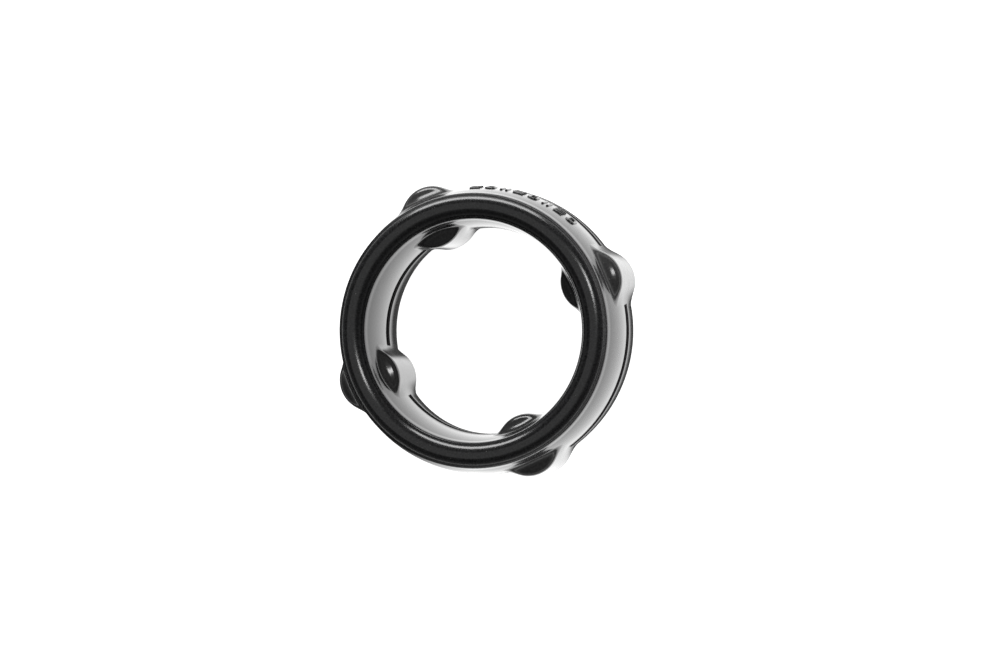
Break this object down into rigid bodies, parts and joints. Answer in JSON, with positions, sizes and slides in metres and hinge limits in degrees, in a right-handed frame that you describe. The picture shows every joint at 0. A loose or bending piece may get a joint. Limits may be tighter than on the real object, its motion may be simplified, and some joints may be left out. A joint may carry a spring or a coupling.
{
  "type": "fence rail insulator ring",
  "caption": "Black rubber spacer ring whose domed lobes grip a round fence rail inside it and hold a sleeve or clamp off it on the outside.",
  "frame": {"origin": "on the ring's axis, in the plane of the rear nose's flat land, which it lies on", "axes": "+Z along the ring's axis from the rear nose to the front nose; +X and +Y through the middles of two neighbouring lobes"},
  "size_m": [0.0566, 0.0566, 0.0266],
  "materials": {
    "ring_rubber": "glossy moulded black, lightly dusty",
    "lobe_rubber": "glossy moulded black",
    "hoop_plastic": "plain warm grey, only its edge shows",
    "dowel_plastic": "plain, hidden"
  },
  "bodies": {
    "root": {"front_half": "ring_rubber", "rear_half": "ring_rubber", "centre_hoop": "hoop_plastic", "lobe_1": "lobe_rubber", "lobe_2": "lobe_rubber", "lobe_3": "lobe_rubber", "lobe_4": "lobe_rubber", "dowel_1": "dowel_plastic", "dowel_2": "dowel_plastic", "dowel_3": "dowel_plastic", "dowel_4": "dowel_plastic"}
  },
  "joints": []
}
